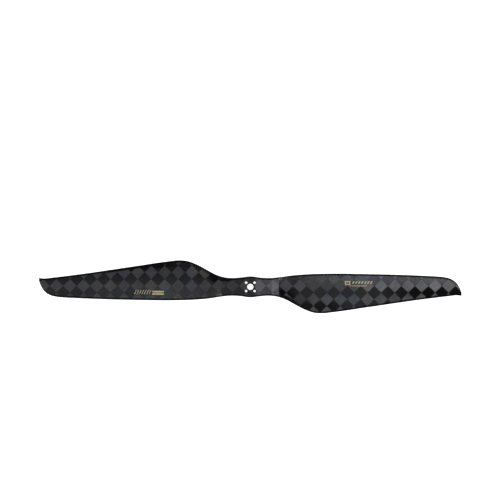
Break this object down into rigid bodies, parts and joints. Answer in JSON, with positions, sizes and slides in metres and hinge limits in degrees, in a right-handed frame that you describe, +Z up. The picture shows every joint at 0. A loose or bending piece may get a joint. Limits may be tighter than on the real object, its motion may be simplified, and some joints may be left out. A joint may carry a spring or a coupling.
{
  "type": "propeller",
  "caption": "Rigid two-blade drone propeller in chequered carbon cloth, with twisted swept-tip blades, a flat hub, a plain centre bore and small mounting holes.",
  "frame": {"origin": "centre of the bore on the hub's underside, the face that sits on the motor", "axes": "+X along the right blade, +Y towards the right blade's leading edge, +Z up along the bore, the way the propeller pushes; it turns from +X towards +Y, counter-clockwise seen from +Z"},
  "size_m": [0.5334, 0.067, 0.0157],
  "materials": {
    "cover_cloth": "gloss",
    "inner_laminate": "satin",
    "edge_resin": "gloss",
    "hub_laminate": "satin",
    "straight_tow": "satin",
    "core_foam": "matte",
    "tip_resin": "satin",
    "gold_print": "satin"
  },
  "bodies": {
    "root": {"upper_cover_ply": "cover_cloth", "lower_cover_ply": "cover_cloth", "upper_inner_ply": "inner_laminate", "lower_inner_ply": "inner_laminate", "edge_bead": "edge_resin", "hub_core": "hub_laminate", "upper_hub_doubler": "cover_cloth", "lower_hub_doubler": "cover_cloth", "upper_spar_cap": "straight_tow", "lower_spar_cap": "straight_tow", "right_blade_core": "core_foam", "left_blade_core": "core_foam", "right_leading_edge_roving": "straight_tow", "left_leading_edge_roving": "straight_tow", "right_trailing_edge_strip": "straight_tow", "left_trailing_edge_strip": "straight_tow", "right_tip_filler": "tip_resin", "left_tip_filler": "tip_resin", "right_blade_mark": "gold_print", "left_blade_mark": "gold_print"}
  },
  "joints": []
}
